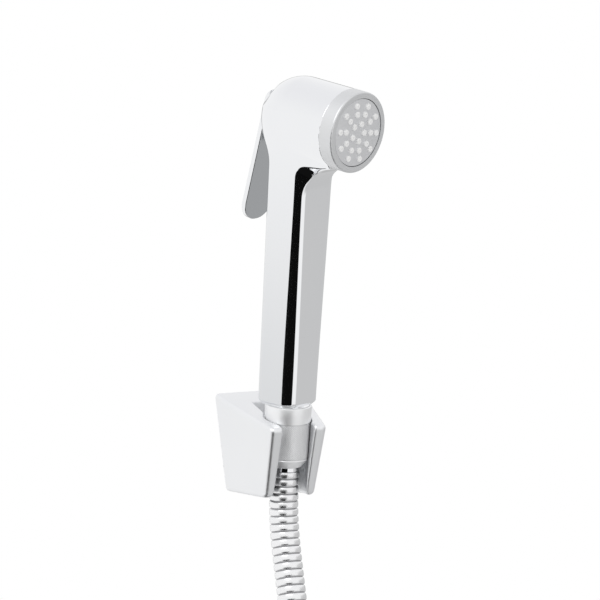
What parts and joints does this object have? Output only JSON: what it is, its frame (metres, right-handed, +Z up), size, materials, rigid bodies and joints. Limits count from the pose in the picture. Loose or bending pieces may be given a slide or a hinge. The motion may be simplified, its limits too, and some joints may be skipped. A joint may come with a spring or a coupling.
{
  "type": "hand-held bidet shower with wall holder and hose",
  "caption": "Chrome hand-held bidet spray with a thumb lever, hung by its conical nut in a wall holder, with a ribbed metal hose that ends in a tied coil and a hexagonal supply nut.",
  "frame": {"origin": "middle of the wall holder's back face, on the wall", "axes": "+Z up, +Y into the wall, so the holder and the handset stand out towards -Y, +X to the right of someone who looks at the wall"},
  "size_m": [0.1709, 0.1289, 0.4955],
  "materials": {
    "chrome": "polished chrome plating",
    "spray_grey": "satin chrome plating",
    "white_rubber": "matte silicone",
    "black_rubber": "matte rubber",
    "white_plastic": "moulded plastic",
    "brass": "machined brass",
    "steel": "plain stainless steel",
    "steel_hose": "chromed stripwound steel",
    "grey_plastic": "nylon",
    "clear_tie": "plain plastic strap"
  },
  "bodies": {
    "holder": {"wall_holder": "chrome", "holder_screw": "steel", "wall_plug": "grey_plastic"},
    "hose_end": {"hose_nipple": "brass", "hose_washer": "black_rubber", "hose_collar": "chrome", "inner_tube": "black_rubber", "hose_armour": "steel_hose", "hose_coil": "steel_hose", "coil_tie": "clear_tie", "end_collar": "chrome", "end_nipple": "brass", "end_washer": "black_rubber"},
    "end_nut": {"end_nut": "chrome"},
    "handset": {"handset_shell": "chrome", "face_ring": "chrome", "face_seal": "black_rubber", "spray_plate": "spray_grey", "nozzle_mat": "white_rubber", "diffuser": "white_plastic", "valve_sleeve": "brass", "gland_nut": "brass", "gland_seal": "black_rubber", "spring_seat": "white_plastic", "valve_spring": "steel", "lever_pin": "steel", "inlet_fitting": "brass", "inlet_seal": "black_rubber", "cone_nut": "chrome"},
    "valve_spool": {"valve_spool": "brass", "piston_seal": "black_rubber"},
    "lever": {"lever": "chrome"}
  },
  "joints": [
    {"name": "handset_lift", "type": "slide", "parent": "holder", "child": "hose_end", "axis": [0, -0.1736, 0.9848], "range_m": [0, 0.045]},
    {"name": "handset_swivel", "type": "hinge", "parent": "hose_end", "child": "handset", "pos_m": [0, -0.0337, 0.0202], "axis": [0, -0.1736, 0.9848], "continuous": true},
    {"name": "lever_press", "type": "hinge", "parent": "handset", "child": "lever", "pos_m": [-0.00402, -0.05011, 0.16789], "axis": [-0.9205, -0.3848, -0.0678], "range_deg": [0, 10], "stiffness_Nm_per_rad": 0.8, "springref_deg": -5.73},
    {"name": "valve_push", "type": "slide", "parent": "handset", "child": "valve_spool", "axis": [0.3907, -0.9065, -0.1598], "range_m": [0, 0.003], "deforming": ["valve_spring"]},
    {"name": "end_nut_turn", "type": "hinge", "parent": "hose_end", "child": "end_nut", "pos_m": [0.06719, -0.06977, -0.29542], "axis": [0, 0, -1], "continuous": true}
  ],
  "couplings": [
    {"joint": "valve_push", "follows": "lever_press", "m_per_rad": 0.017}
  ]
}
